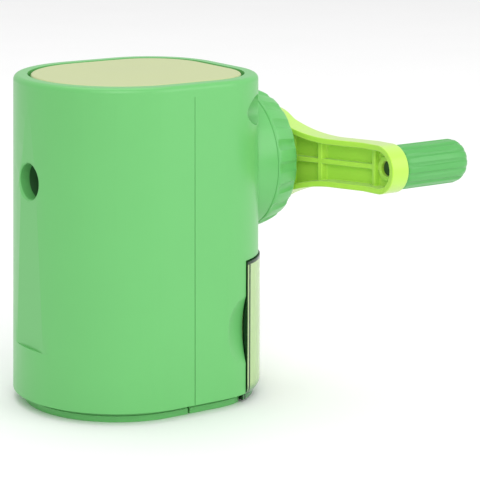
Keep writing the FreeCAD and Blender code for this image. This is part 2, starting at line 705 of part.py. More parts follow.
flute_cut = fluted_ring.newObject("PartDesign::SubtractiveLoft", "flute_cut")
flute_cut.Profile = flute_end("flute_front", "ring_x - 1", "1")
flute_cut.Sections = [flute_end("flute_rear", "ring_rear_x + 1", "ring_x - ring_rear_x - 1")]
settle(fluted_ring)
repeat(fluted_ring, flute_cut, flute_cut.Profile[0], "flutes")
place(fluted_ring, "0", "0", "axis_z")
housing_solid = joined(
    "housing_solid",
    cylinder("housing_boss_body", "housing_boss", f"ring_x + 1 - {lug_front_x}", lug_front_x,
             "0", "axis_z"),
    fluted_ring,
    *[
        bayonet_block(f"lug_{turn}", str(turn), "lug_width", "housing_boss + lug_height",
                      lug_front_x, f"{lug_front_x} + lug_length")
        for turn in housing_turns
    ],
)
gear_housing = node(
    "gear_housing",
    without(
        "GearHousing", housing_solid,
        cylinder("housing_bore_cut", housing_bore, f"housing_wall_x - {lug_front_x} + 1",
                 f"{lug_front_x} - 1", "0", "axis_z"),
        cylinder("housing_journal", "shaft_radius + journal_play", "20", "housing_wall_x - 1",
                 "0", "axis_z"),
    ),
)

# ---------------------------------------------------------------- ring gear, fixed in the housing
gap_half = f"(({gear_module}) * 3.14159 / 4 + backlash / 2)"
ring_gear_body = new_body("RingGear")
ring_sketch = new_sketch(ring_gear_body, "ring_gear_ring", "YZ_Plane", "ring_gear_x")
circle(ring_sketch, "0", "0", housing_bore)
circle(ring_sketch, "0", "0", f"{ring_pitch} - tip_height")
pad(ring_gear_body, ring_sketch, "ring_gear_width")
ring_gap = new_sketch(ring_gear_body, "ring_gear_gap", "YZ_Plane", "ring_gear_x")
polygon(ring_gap, [
    (f"-{gap_half} * 1.3", f"{ring_pitch} - 2 * tip_height"),
    (f"{gap_half} * 1.3", f"{ring_pitch} - 2 * tip_height"),
    (f"{gap_half} * 0.7", f"{ring_pitch} + root_depth"),
    (f"-{gap_half} * 0.7", f"{ring_pitch} + root_depth"),
])
turned_cut(ring_gear_body, ring_gap, "ring_gear_width", "ring_teeth")
place(ring_gear_body, "0", "0", "axis_z")
ring_gear = node("ring_gear", ring_gear_body)


# ---------------------------------------------------------------- cutter group, about its tilted pin
def on_pin(thing, start="0"):
    """Move a thing built along +X from the apex onto the cutter's tilted axis."""
    place(thing, f"apex_x + ({start}) * cos(cutter_tilt)", "0",
          f"axis_z + {apex_rise} - ({start}) * sin(cutter_tilt)")
    return thing


def lean(thing, upright):
    """Tilt a placed thing about Y, past its own direction."""
    tilted = Rotation(Vector(0, 1, 0), upright + number("cutter_tilt"))
    thing.Placement = Placement(thing.Placement.Base, tilted)
    thing.setExpression("Placement.Rotation.Angle", bound(f"{upright} + cutter_tilt"))
    return thing


def pin_cylinder(name, radius, start, end):
    """A cylinder about the cutter's axis, between two distances behind the apex."""
    return lean(on_pin(cylinder(name, radius, f"({end}) - ({start})"), start), 90)


cutter_start = "(cutter_past_apex - cutter_length)"


def cutter_section(turn, along):
    """The ground outline of the cutter, a star of cutting edges, at a turn and a distance along the pin."""
    edges = int(number("cutter_edges"))
    points = []
    for index in range(2 * edges):
        radius = number("cutter_radius") - (number("edge_depth") if index % 2 else 0)
        lead = 0.35 if index % 2 else 0
        angle = math.radians(turn + 180 / edges * (index + lead))
        points.append(Vector(along, radius * math.cos(angle), radius * math.sin(angle)))
    return Part.makePolygon(points + points[:1])


steps = 7
blank_sections = [
    cutter_section(
        number("cutter_twist") * step / (steps - 1),
        number(cutter_start) + number("cutter_length") * step / (steps - 1),
    )
    for step in range(steps)
]
cutter_blank = doc.addObject("Part::Feature", "cutter_blank")
cutter_blank.Shape = Part.makeLoft(blank_sections, True, True)
on_pin(cutter_blank)
lean(cutter_blank, 0)
cutter_bore = pin_cylinder("cutter_bore", "pin_radius + pin_play", f"{cutter_start} - 5", "pinion_near")
helical_cutter = node("helical_cutter", without("HelicalCutter", cutter_blank, cutter_bore))

pinion_body = new_body("PinionGear")
pinion_sketch = new_sketch(pinion_body, "pinion_disc", "YZ_Plane", "pinion_near")
circle(pinion_sketch, "0", "0", f"{pinion_pitch} + tip_height")
circle(pinion_sketch, "0", "0", "pin_radius + pin_play")
pad(pinion_body, pinion_sketch, "pinion_width")
pinion_gap = new_sketch(pinion_body, "pinion_gap", "YZ_Plane", "pinion_near")
polygon(pinion_gap, [
    (f"-{gap_half} * 0.7", f"{pinion_pitch} - root_depth"),
    (f"{gap_half} * 0.7", f"{pinion_pitch} - root_depth"),
    (f"{gap_half} * 1.3", f"{pinion_pitch} + 2 * tip_height"),
    (f"-{gap_half} * 1.3", f"{pinion_pitch} + 2 * tip_height"),
])
turned_cut(pinion_body, pinion_gap, "pinion_width", "pinion_teeth")
# half a tooth round, so that a tooth stands in the ring gear's topmost gap
pinion_turned = doc.addObject("Part::Compound", "pinion_turned")
pinion_turned.Links = [pinion_body]
pinion_turned.Placement = Placement(Vector(), Rotation(Vector(1, 0, 0), 180 / number("pinion_teeth")))
pinion_turned.setExpression("Placement.Rotation.Angle", bound("180 / pinion_teeth"))
pinion_hub = without(
    "pinion_hub",
    pin_cylinder("pinion_hub_solid", "pin_radius + 1.5", "cutter_past_apex", "pinion_near"),
    pin_cylinder("pinion_hub_bore", "pin_radius + pin_play", "0", "pinion_near + 1"),
)
pinion_leaned = lean(on_pin(gathered("pinion_on_pin", pinion_turned)), 0)
pinion_gear = node("pinion_gear", joined("Pinion", pinion_leaned, pinion_hub))

pin_start = "((hub_rear_x - hub_length + 1 - apex_x) / cos(cutter_tilt))"
pin_end = "((plate_x + plate_thickness - spigot_length - 0.6 - apex_x) / cos(cutter_tilt))"
cutter_pin = node("cutter_pin", pin_cylinder("CutterPin", "pin_radius", pin_start, pin_end))
sleeve_start = "(pinion_near + pinion_width + washer_play * 2)"
sleeve_end = "((plate_x - apex_x) / cos(cutter_tilt) - 0.8)"
front_washer = without(
    "front_washer",
    pin_cylinder("front_washer_disc", "pin_radius * 1.8",
                 f"{cutter_start} - washer_thickness - washer_play", f"{cutter_start} - washer_play"),
    pin_cylinder("front_washer_hole", "pin_radius", f"{cutter_start} - 5", f"{cutter_start} + 5"),
)
rear_sleeve = without(
    "rear_sleeve",
    pin_cylinder("rear_sleeve_solid", "pin_radius * 1.8", sleeve_start, sleeve_end),
    pin_cylinder("rear_sleeve_hole", "pin_radius", f"{sleeve_start} - 5", f"{sleeve_end} + 5"),
)
cutter_washers = node("cutter_washers", gathered("CutterWashers", front_washer, rear_sleeve))

# ---------------------------------------------------------------- carrier and drive shaft


def on_crank(thing):
    """Turn a thing built level about the crank axis to the crank's angle at rest, at the axis' height."""
    place(thing, "0", "0", "axis_z", Rotation(Vector(-1, 0, 0), number("crank_rise")))
    thing.setExpression("Placement.Rotation.Angle", bound("crank_rise"))
    return thing


cradle_ring = without(
    "cradle_ring",
    cylinder("cradle_outside", "cradle_radius", "plate_x + 1 - hub_rear_x + 1", "hub_rear_x - 1",
             "0", "axis_z"),
    cylinder("cradle_inside", "cradle_bore", far, "-50", "0", "axis_z"),
    box("above_cradle", wide, wide, ("axis_z - cradle_drop", far)),
)
hub_disc = without(
    "hub_disc",
    cylinder("hub_disc_solid", "hub_radius", "hub_length", "hub_rear_x - hub_length", "0", "axis_z"),
    cylinder("hub_bore", "spigot_radius + journal_play", far, "-50", "0", "axis_z"),
)
carrier_plate = cylinder("carrier_plate", "plate_radius", "plate_thickness", "plate_x", "0", "axis_z")
shaft_seat = cylinder("shaft_seat", "shaft_radius", "20", f"{plate_rear_x} - spigot_length", "0", "axis_z")
cutter_carrier = node(
    "cutter_carrier",
    without("CutterCarrier", joined("carrier_solid", cradle_ring, hub_disc, carrier_plate), shaft_seat,
            pin_cylinder("carrier_pin_bore", "pin_radius", pin_start, pin_end)),
)
shaft_x = f"({plate_rear_x} - spigot_length)"
half_square = "square_side / 2"
drive_square = on_crank(gathered(
    "drive_square",
    box("drive_square_bar", (shaft_x, shaft_end_x), (f"-{half_square}", half_square),
        (f"-{half_square}", half_square)),
))
drive_shaft = node(
    "drive_shaft",
    without(
        "DriveShaft",
        joined("shaft_solid",
               cylinder("shaft_journal", "shaft_radius", f"crank_x - {shaft_x}", shaft_x, "0", "axis_z"),
               drive_square),
        cylinder("shaft_thread", "screw_shank", "screw_bite + 1", f"{shaft_end_x} - screw_bite",
                 "0", "axis_z"),
    ),
)
thrust_washer = node(
    "thrust_washer",
    without("ThrustWasher",
            cylinder("thrust_disc", "thrust_radius", "washer_thickness", f"{plate_rear_x} + washer_play",
                     "0", "axis_z"),
            cylinder("thrust_hole", "shaft_radius + washer_play", far, "-50", "0", "axis_z")),
)

# ---------------------------------------------------------------- crank arm, an open channel towards the body


def arm_block(name, inset):
    """A prism along X with the arm's outline, set in by an inset."""
    body = new_body(name)
    sketch = new_sketch(body, name + "_outline", "YZ_Plane", "crank_x - 10")
    hub = f"(crank_hub - ({inset}))"
    neck = f"(crank_neck - ({inset}))"
    blend = f"({blend_radius} + ({inset}))"
    rise = f"(crank_neck + {blend_radius})"
    meet = math.degrees(math.atan2(number(rise), number("crank_blend_end")))
    rim = arc(sketch, "0", "0", hub, meet - 180, 180 - meet)
    upper = arc(sketch, "-crank_blend_end", rise, blend, 270, 360 - meet)
    upper_side = line(sketch, "-crank_radius", neck, "-crank_blend_end", neck)
    tip = arc(sketch, "-crank_radius", "0", neck, 90, 270)
    lower_side = line(sketch, "-crank_radius", f"-{neck}", "-crank_blend_end", f"-{neck}")
    lower = arc(sketch, "-crank_blend_end", f"-{rise}", blend, meet, 90)
    smooth(sketch, (rim, 2, upper, 2), (upper, 1, upper_side, 2), (upper_side, 1, tip, 1))
    smooth(sketch, (tip, 2, lower_side, 1), (lower_side, 2, lower, 2), (lower, 1, rim, 1))
    centre_at(sketch, rim, "0", "0")
    centre_at(sketch, tip, "-crank_radius", "0")
    centre_at(sketch, upper, "-crank_blend_end", rise)
    centre_at(sketch, lower, "-crank_blend_end", f"-{rise}")
    dimension(sketch, "Radius", rim, hub)
    dimension(sketch, "Radius", tip, neck)
    pad(body, sketch, "crank_tip_rear_x - crank_x + 20")
    return body


def slant_block(name, front, rear, margin="0"):
    """The arm's side profile, slanting rearwards to the tip, between a front and a rear offset."""
    body = new_body(name)
    sketch = new_sketch(body, name + "_side", "XY_Plane")
    polygon(sketch, [
        (f"crank_x + ({front})", "40"),
        (f"crank_x + ({front})", "-crank_bend_in"),
        (f"crank_tip_x + ({front})", "-crank_bend_out"),
        (f"crank_tip_x + ({front})", "-2 * crank_radius"),
        (f"crank_tip_rear_x - ({rear})", "-2 * crank_radius"),
        (f"crank_tip_rear_x - ({rear})", "-crank_bend_out"),
        (f"crank_rear_x - ({rear})", "-crank_bend_in"),
        (f"crank_rear_x - ({rear})", "40"),
    ])
    pad(body, sketch, "4 * crank_hub", both_ways=True)
    return body


arm_solid = shared("arm_solid", arm_block("arm_outside", "0"), slant_block("arm_slant", "0", "0"))
channel_slant = slant_block("channel_slant", "-5", "channel_floor")
channel_full = shared("channel_full", arm_block("arm_inside", "channel_flange"), channel_slant)
at_hub = box("at_hub", wide, ("-channel_start", "100"), wide)
rib_slant = slant_block("rib_slant", "rib_drop", "0")
rib_half = "rib_thickness / 2"
rib_bars = joined(
    "rib_bars",
    box("long_rib", wide, ("-rib_out", "0"), (f"-{rib_half}", rib_half)),
    box("inner_rib", wide, (f"-rib_in - {rib_half}", f"-rib_in + {rib_half}"), wide),
    box("outer_rib", wide, (f"-rib_out - {rib_half}", f"-rib_out + {rib_half}"), wide),
)
ribs = shared("ribs", rib_bars, rib_slant)
tip_boss_solid = shared(
    "tip_boss_solid",
    cylinder("tip_boss_bar", "tip_boss", far, "0", "-crank_radius", "0"),
    slant_block("tip_boss_slant", "tip_boss_drop", "0"),
)
channel = without("channel", channel_full, at_hub, ribs, tip_boss_solid)
square_hole = box("square_hole", wide, ("-square_side / 2 - square_play", "square_side / 2 + square_play"),
                  ("-square_side / 2 - square_play", "square_side / 2 + square_play"))
arm_cut = without(
    "arm_cut", arm_solid, channel, square_hole,
    cylinder("screw_recess_cut", "screw_recess", "20", "screw_recess_x"),
    cylinder("rivet_recess_cut", "rivet_recess", "10 + rivet_recess_depth", "crank_tip_x - 10",
             "-crank_radius"),
    cylinder("rivet_hole", "knob_pin_neck", far, "0", "-crank_radius"),
)


crank_arm = node("crank_arm", on_crank(gathered("CrankArm", arm_cut)))
screw_seat_x = "screw_recess_x + washer_thickness"
crank_screw = node("crank_screw", screw("CrankScrew", screw_seat_x,
                                        f"{screw_seat_x} - {shaft_end_x} + screw_bite - 1", "0", "axis_z"))
crank_washer = node(
    "crank_washer",
    without("CrankWasher",
            cylinder("crank_washer_disc", "crank_washer_radius", "washer_thickness", "screw_recess_x",
                     "0", "axis_z"),
            cylinder("crank_washer_hole", "screw_shank + washer_play", far, "0", "0", "axis_z")),
)

# ---------------------------------------------------------------- knob and its rivet pin
rivet_x = "(crank_tip_x + rivet_recess_depth)"
pin_parts = joined(
    "pin_parts",
    cylinder("rivet_head", "rivet_recess - 0.2", "0.7", f"{rivet_x} - 0.7", "-crank_radius"),
    cylinder("pin_neck", "knob_pin_neck", f"{knob_x} - {rivet_x}", rivet_x, "-crank_radius"),
    cylinder("pin_collar", "knob_collar", "knob_gap - washer_play * 2", "crank_tip_rear_x",
             "-crank_radius"),
    cylinder("pin_journal", "knob_pin_radius", "knob_pin_length + knob_gap / 2",
             f"{knob_x} - knob_gap / 2", "-crank_radius"),
)
knob_pin = node("knob_pin", on_crank(gathered("KnobPin", pin_parts)))

knob_body = new_body("KnobBody")
knob_sketch = new_sketch(knob_body, "knob_disc", "YZ_Plane", knob_x)
circle(knob_sketch, "0", "0", "knob_radius")
pad(knob_body, knob_sketch, "knob_length")
round_end(knob_body, "knob_round", REARWARDS)
knob_flute = new_sketch(knob_body, "knob_flute", "YZ_Plane", f"{knob_x} + 0.8")
circle(knob_flute, "0", "knob_radius - knob_flute_depth + knob_flute_radius", "knob_flute_radius")
turned_cut(knob_body, knob_flute, "knob_length", "knob_flutes")
place(knob_body, "0", "-crank_radius", "0")
knob_bore = cylinder("knob_bore", "knob_pin_radius + journal_play", "knob_pin_length + 0.3 + 5",
                     f"{knob_x} - 5", "-crank_radius")
knob = node("knob", on_crank(gathered("Knob", without("knob_cut", knob_body, knob_bore))))

# ---------------------------------------------------------------- drawer: curved panel, lip and tray
behind_edge = box("behind_edge", ("-100", "drawer_edge_x"), wide, ("-10", far))
panel_outer = plan_block("panel_outer", f"-panel_proud - {spread}", "drawer_low", "drawer_top")
round_end(panel_outer, "panel_round", -UP)
panel_inner = plan_block("panel_inner", "panel_wall - panel_proud", "drawer_low - 1", "drawer_top + 1", "0")
panel = without("panel", panel_outer, panel_inner, behind_edge)
lip = without(
    "lip",
    plan_block("lip_outer", "lip_inset", "lip_low", "drawer_low + 1", "0"),
    plan_block("lip_inner", f"lip_inset + {lip_wall}", "lip_low - 1", "drawer_low + 2", "0"),
    behind_edge,
)
tray_outline = plan_block("tray_outline", "panel_wall - panel_proud - 0.3", "tray_low", "tray_top", "0")
tray_box = box("tray_box", ("tray_front_x", "100"), (f"-{tray_side}", tray_side),
               ("tray_low", "tray_top"))
tray_inline = plan_block("tray_inline", "panel_wall - panel_proud - 0.3 + tray_wall",
                         "tray_low + tray_wall", "tray_top + 5", "0")
tray_inside = box("tray_inside", ("tray_front_x + tray_wall", "100"),
                  (f"tray_wall - {tray_side}", f"{tray_side} - tray_wall"),
                  ("tray_low + tray_wall", far))
tray_solid = shared("tray_solid", tray_box, tray_outline)
tray = without("tray", tray_solid, shared("tray_room", tray_inside, tray_inline))
drawer = node("drawer", joined("Drawer", panel, lip, tray))

# ---------------------------------------------------------------- check, then write
doc.recompute()
for thing in doc.Objects:
    if {"Invalid", "Error"} & set(thing.State):
        raise RuntimeError(f"{thing.Label} failed: {thing.State}")
for thing in nodes:
    if thing.Shape.isNull() or not thing.Shape.isValid():
        raise RuntimeError(f"{thing.Label} has no valid shape")
os.makedirs("parts", exist_ok=True)
for thing in nodes:
    thing.Shape.exportStep(f"parts/{thing.Label}.step")
    extent = thing.Shape.BoundBox
    print(f"{thing.Label}: {len(thing.Shape.Solids)} solid(s), {thing.Shape.Volume:.1f} mm3,"
          f" x {extent.XMin:.2f} to {extent.XMax:.2f}, y {extent.YMin:.2f} to {extent.YMax:.2f},"
          f" z {extent.ZMin:.2f} to {extent.ZMax:.2f}")
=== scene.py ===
import json
import math

import bmesh
import bpy
from mathutils import Matrix, Vector


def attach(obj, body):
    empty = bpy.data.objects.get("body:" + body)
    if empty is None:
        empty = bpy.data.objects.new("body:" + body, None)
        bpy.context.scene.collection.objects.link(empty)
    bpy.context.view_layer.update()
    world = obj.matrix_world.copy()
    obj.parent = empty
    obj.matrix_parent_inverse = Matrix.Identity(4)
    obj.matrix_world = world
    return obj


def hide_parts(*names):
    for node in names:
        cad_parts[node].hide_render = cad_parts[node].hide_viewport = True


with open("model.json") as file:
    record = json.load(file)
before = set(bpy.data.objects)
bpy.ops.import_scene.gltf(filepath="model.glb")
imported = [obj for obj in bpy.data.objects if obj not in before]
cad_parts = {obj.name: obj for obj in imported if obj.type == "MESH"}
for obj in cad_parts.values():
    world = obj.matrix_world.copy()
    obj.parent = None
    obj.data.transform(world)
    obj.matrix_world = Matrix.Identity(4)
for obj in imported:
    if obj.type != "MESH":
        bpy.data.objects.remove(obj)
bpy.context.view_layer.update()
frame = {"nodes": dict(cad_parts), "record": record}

nodes = frame["nodes"]
scene = bpy.context.scene


# ------------------------------------------------------------------ studio
# A pale matt table with the faintest mottling, three soft boxes and an even white room.
# A long lens looks from in front of the left side, a little above the lid.
def speckle(tree, scale, detail=2, stretch=None):
    """Noise on the object's own coordinates, stretched where the marks run one way."""
    place = tree.nodes.new("ShaderNodeTexCoord").outputs["Object"]
    if stretch:
        mapping = tree.nodes.new("ShaderNodeMapping")
        mapping.inputs["Scale"].default_value = stretch
        tree.links.new(place, mapping.inputs["Vector"])
        place = mapping.outputs["Vector"]
    noise = tree.nodes.new("ShaderNodeTexNoise")
    noise.inputs["Scale"].default_value = scale
    noise.inputs["Detail"].default_value = detail
    tree.links.new(place, noise.inputs["Vector"])
    return noise.outputs["Fac"]


def blended(tree, factor, *colours):
    """From the first colour to the second as the factor goes from 0 to 1."""
    mix = tree.nodes.new("ShaderNodeMix")
    mix.data_type = "RGBA"
    tree.links.new(factor, mix.inputs["Factor"])
    for side, colour in zip("AB", colours):
        if isinstance(colour, tuple):
            mix.inputs[side].default_value = colour + (1,)
        else:
            tree.links.new(colour, mix.inputs[side])
    return mix.outputs["Result"]


def soft_light(name, size, power, place):
    """A square soft box that looks at the middle of the body."""
    body_middle = Vector((0, 0, 0.05))
    data = bpy.data.lights.new(name, "AREA")
    data.size = size
    data.energy = power
    lamp = bpy.data.objects.new(name, data)
    scene.collection.objects.link(lamp)
    lamp.location = place
    aim = body_middle - Vector(place)
    lamp.rotation_euler = aim.to_track_quat("-Z", "Y").to_euler()


camera_data = bpy.data.cameras.new("camera")
camera_data.lens = 159.66
camera_data.sensor_width = 36
camera_data.clip_start = 0.01
camera = bpy.data.objects.new("camera", camera_data)
scene.collection.objects.link(camera)
camera_place = (-0.32694, -0.50530, 0.18068)
camera_yaw = 0.6266
camera_pitch = 0.2203
camera_roll = 0.0111
camera.matrix_world = (
    Matrix.Translation(camera_place)
    @ Matrix.Rotation(-camera_yaw, 4, "Z")
    @ Matrix.Rotation(math.pi / 2 - camera_pitch, 4, "X")
    @ Matrix.Rotation(camera_roll, 4, "Z")
)
scene.camera = camera
scene.view_settings.view_transform = "Standard"

floor_half = 3
floor_corners = [(-floor_half, -floor_half, 0), (floor_half, -floor_half, 0)]
floor_corners += [(floor_half, floor_half, 0), (-floor_half, floor_half, 0)]
floor_mesh = bpy.data.meshes.new("floor")
floor_mesh.from_pydata(floor_corners, [], [(0, 1, 2, 3)])
floor = bpy.data.objects.new("floor", floor_mesh)
scene.collection.objects.link(floor)
floor_paint = bpy.data.materials.new("studio_table")
floor_paint.use_nodes = True
floor_tree = floor_paint.node_tree
floor_shader = floor_tree.nodes["Principled BSDF"]
floor_colour = blended(floor_tree, speckle(floor_tree, 14), (0.92, 0.92, 0.92), (0.94, 0.94, 0.94))
floor_tree.links.new(floor_colour, floor_shader.inputs["Base Color"])
floor_shader.inputs["Roughness"].default_value = 0.9
floor_mesh.materials.append(floor_paint)

soft_light("key", 0.8, 6.6, (-0.6, -1.0, 0.9))
soft_light("fill", 1.0, 5.2, (0.7, -1.1, 0.6))
soft_light("top", 1.0, 4.8, (0.1, 0.3, 1.3))
room = bpy.data.worlds.new("studio")
room.use_nodes = True
room_light = room.node_tree.nodes["Background"]
room_light.inputs["Color"].default_value = (1, 1, 1, 1)
room_light.inputs["Strength"].default_value = 0.76
scene.world = room


# ------------------------------------------------------------------ body shells
# Two moulded ABS halves in mid green, screwed together from the rear; the front one carries the whole rim.
# Moulded edges are broken by a small round from the tool, never a knife edge.
def spread(tree, factor, low, high):
    """A number between two, by a factor from 0 to 1."""
    ramp = tree.nodes.new("ShaderNodeMapRange")
    ramp.inputs["To Min"].default_value = low
    ramp.inputs["To Max"].default_value = high
    tree.links.new(factor, ramp.inputs["Value"])
    return ramp.outputs["Result"]


def plastic(name, colour, roughness, grain, grain_size=2600, painted_sheen=None):
    """Moulded plastic: a colour that drifts, the fine grain of the tool, and if given, a painted sheen that
    makes it paler where seen at a slant.
    """
    mottle = 0.03
    grain_depth = 0.00004
    material = bpy.data.materials.new(name)
    material.use_nodes = True
    tree = material.node_tree
    shader = tree.nodes["Principled BSDF"]
    drift = speckle(tree, 55, 3)
    darker = tuple(c * (1 - mottle) for c in colour)
    lighter = tuple(c * (1 + mottle) for c in colour)
    tint = blended(tree, drift, darker, lighter)
    # Painted sheen: towards the given paler colour where the surface is seen at a slant.
    if painted_sheen:
        facing = tree.nodes.new("ShaderNodeLayerWeight")
        facing.inputs["Blend"].default_value = 0.35
        tint = blended(tree, facing.outputs["Facing"], tint, painted_sheen)
    tree.links.new(tint, shader.inputs["Base Color"])
    gloss = spread(tree, drift, roughness - 0.04, roughness + 0.05)
    tree.links.new(gloss, shader.inputs["Roughness"])
    bump = tree.nodes.new("ShaderNodeBump")
    bump.inputs["Strength"].default_value = grain
    bump.inputs["Distance"].default_value = grain_depth
    tree.links.new(speckle(tree, grain_size), bump.inputs["Height"])
    tree.links.new(bump.outputs["Normal"], shader.inputs["Normal"])
    return material


def applied(piece):
    """The piece with its modifiers made a plain mesh."""
    result = piece.evaluated_get(bpy.context.evaluated_depsgraph_get())
    mesh = bpy.data.meshes.new_from_object(result)
    piece.modifiers.clear()
    piece.data = mesh
    mesh.name = piece.name
    return piece


def moulded(name, width, segments=2, closed_joint=None, flat_side=None):
    """A copy of a CAD node with rounded edges, except underneath and at the height of a closed joint.

    The outline of a flat that faces one given way stays a crisp line, however shallow.
    """
    weld = 2e-6
    joint_slack = 1e-5
    foot_height = 0.0045
    one_plane = math.radians(0.15)
    sharp_angle = math.radians(32)
    squarely = 0.99999
    mesh = nodes[name].data.copy()
    work = bmesh.new()
    work.from_mesh(mesh)
    bmesh.ops.remove_doubles(work, verts=work.verts, dist=weld)
    bmesh.ops.dissolve_limit(work, angle_limit=one_plane, verts=work.verts, edges=work.edges)
    bmesh.ops.recalc_face_normals(work, faces=work.faces)
    weight = work.edges.layers.float.new("bevel_weight_edge")
    for edge in work.edges:
        folded = len(edge.link_faces) == 2
        sharp = folded and edge.calc_face_angle() > sharp_angle
        shut = closed_joint and all(abs(vert.co.z - closed_joint) < joint_slack for vert in edge.verts)
        left_square = shut or all(vert.co.z < foot_height for vert in edge.verts)
        edge[weight] = 1.0 if sharp and not left_square else 0.0
        edge.smooth = not (sharp and left_square)
        if flat_side and folded and not sharp:
            flats = [face.normal.dot(flat_side) > squarely for face in edge.link_faces]
            edge.smooth = flats[0] == flats[1]
    for face in work.faces:
        face.smooth = True
    work.to_mesh(mesh)
    work.free()
    piece = bpy.data.objects.new(name + "_skin", mesh)
    scene.collection.objects.link(piece)
    bevel = piece.modifiers.new("round", "BEVEL")
    bevel.width = width
    bevel.segments = segments
    bevel.limit_method = "WEIGHT"
    bevel.use_clamp_overlap = False
    normals = piece.modifiers.new("even_shading", "WEIGHTED_NORMAL")
    normals.keep_sharp = True
    return applied(piece)


def stand_in(piece, material):
    """Finish a piece: its material, its body, and the CAD node that it stands for."""
    piece.data.materials.clear()
    piece.data.materials.append(material)
    name = piece.name.replace("_skin", "")
    body = next(b for b, members in frame["record"]["behaviour"]["bodies"].items() if name in members)
    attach(piece, body)
    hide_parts(name)


body_green = plastic("body_green", (0.132, 0.480, 0.136), roughness=0.33, grain=0.2)
shell_edge = 0.00012
shell_top_joint = 0.0913
facet_faces = Vector((-1, 0, 0))
for shell in ("front_shell", "rear_shell"):
    shell_skin = moulded(shell, shell_edge, closed_joint=shell_top_joint, flat_side=facet_faces)
    stand_in(shell_skin, body_green)

# ------------------------------------------------------------------ lid
# A pale lime ABS plate with a barely softened edge. It is pressed into the rim on four pegs and closes the
# body from above.
lid_lime = plastic("lid_lime", (0.49, 0.55, 0.26), roughness=0.40, grain=0.3)
lid_edge = 0.00002
stand_in(moulded("top_lid", lid_edge, segments=1), lid_lime)


# ------------------------------------------------------------------ pencil guide and rubber ring
# A dark acetal tube seated behind the hole, and a ring of black rubber pressed under the floor, which keeps
# the base from sliding. Both keep their CAD shapes.
def finished(material, *names):
    """Give pieces that keep their CAD shape their material."""
    for name in names:
        mesh = nodes[name].data
        mesh.materials.clear()
        mesh.materials.append(material)


guide_green = plastic("guide_green", (0.03, 0.12, 0.035), roughness=0.45, grain=0.3)
foot_black = plastic("foot_black", (0.02, 0.02, 0.02), roughness=0.85, grain=0.8, grain_size=1500)
finished(guide_green, "pencil_guide")
finished(foot_black, "base_ring")


# ------------------------------------------------------------------ gear housing
# The ring that twists to free the mechanism, moulded in the body's green: a turned shell with a boss and its
# bore, three bayonet lugs on the boss, and a flank dished by soft flutes that die out at its front edge.
def turned(name, profile, centre, steps):
    """Rings about a line along X, one for each (x, radius, share of the flutes' depth) of a profile.

    A point on the line makes a pole, and a profile that doesn't start at a pole is closed on itself.
    """
    _, side, height = centre
    work = bmesh.new()
    share_layer = work.verts.layers.float.new("flute_share")
    rings = []
    for x, radius, share in profile:
        turns = [2 * math.pi * step / steps for step in range(steps)] if radius else [0]
        ring = []
        for turn in turns:
            vert = work.verts.new((x, side + radius * math.sin(turn), height + radius * math.cos(turn)))
            vert[share_layer] = share
            ring.append(vert)
        rings.append(ring)
    if len(rings[0]) > 1:
        rings.append(rings[0])
    for ring, following in zip(rings, rings[1:]):
        for step in range(steps):
            after = (step + 1) % steps
            corners = [ring[step % len(ring)], ring[after % len(ring)]]
            corners += [following[after % len(following)], following[step % len(following)]]
            work.faces.new(list(dict.fromkeys(corners)))
    mesh = bpy.data.meshes.new(name + "_skin")
    work.to_mesh(mesh)
    work.free()
    piece = bpy.data.objects.new(name + "_skin", mesh)
    scene.collection.objects.link(piece)
    return piece


def calc(tree, operation, *values):
    """The result of a sum, from numbers and other nodes' outputs."""
    node = tree.nodes.new("ShaderNodeMath")
    node.operation = operation
    for socket, value in zip(node.inputs, values):
        if isinstance(value, (int, float)):
            socket.default_value = value
        else:
            tree.links.new(value, socket)
    return node.outputs["Value"]


def new_tree(name, **kinds):
    """An empty Geometry Nodes tree, and its named inputs: a shape, its sizes and a material."""
    tree = bpy.data.node_groups.new(name, "GeometryNodeTree")
    tree.interface.new_socket("Geometry", in_out="OUTPUT", socket_type="NodeSocketGeometry")
    for title, kind in {"Geometry": "Geometry", **kinds, "Material": "Material"}.items():
        tree.interface.new_socket(title, in_out="INPUT", socket_type="NodeSocket" + kind)
    return tree, tree.nodes.new("NodeGroupInput").outputs


def close_tree(tree, given, geometry):
    """The end of each tree: real faces, in its material."""
    real = tree.nodes.new("GeometryNodeRealizeInstances")
    paint = tree.nodes.new("GeometryNodeSetMaterial")
    end = tree.nodes.new("NodeGroupOutput")
    tree.links.new(geometry, real.inputs["Geometry"])
    tree.links.new(real.outputs["Geometry"], paint.inputs["Geometry"])
    tree.links.new(given["Material"], paint.inputs["Material"])
    tree.links.new(paint.outputs["Geometry"], end.inputs["Geometry"])


def run_tree(piece, tree, **sizes):
    """Put a tree on a piece, its inputs set by their sockets' identifiers."""
    modifier = piece.modifiers.new(tree.name, "NODES")
    modifier.node_group = tree
    for socket in tree.interface.items_tree:
        if socket.in_out == "INPUT" and socket.name in sizes:
            modifier[socket.identifier] = sizes[socket.name]


def softened(piece):
    """The piece as a plain mesh with outward faces, smooth except over its hard edges."""
    hard_angle = math.radians(40)
    mesh = applied(piece).data
    work = bmesh.new()
    work.from_mesh(mesh)
    bmesh.ops.recalc_face_normals(work, faces=work.faces)
    for face in work.faces:
        face.smooth = True
    for edge in work.edges:
        edge.smooth = edge.calc_face_angle(0) < hard_angle
    work.to_mesh(mesh)
    work.free()
    return piece


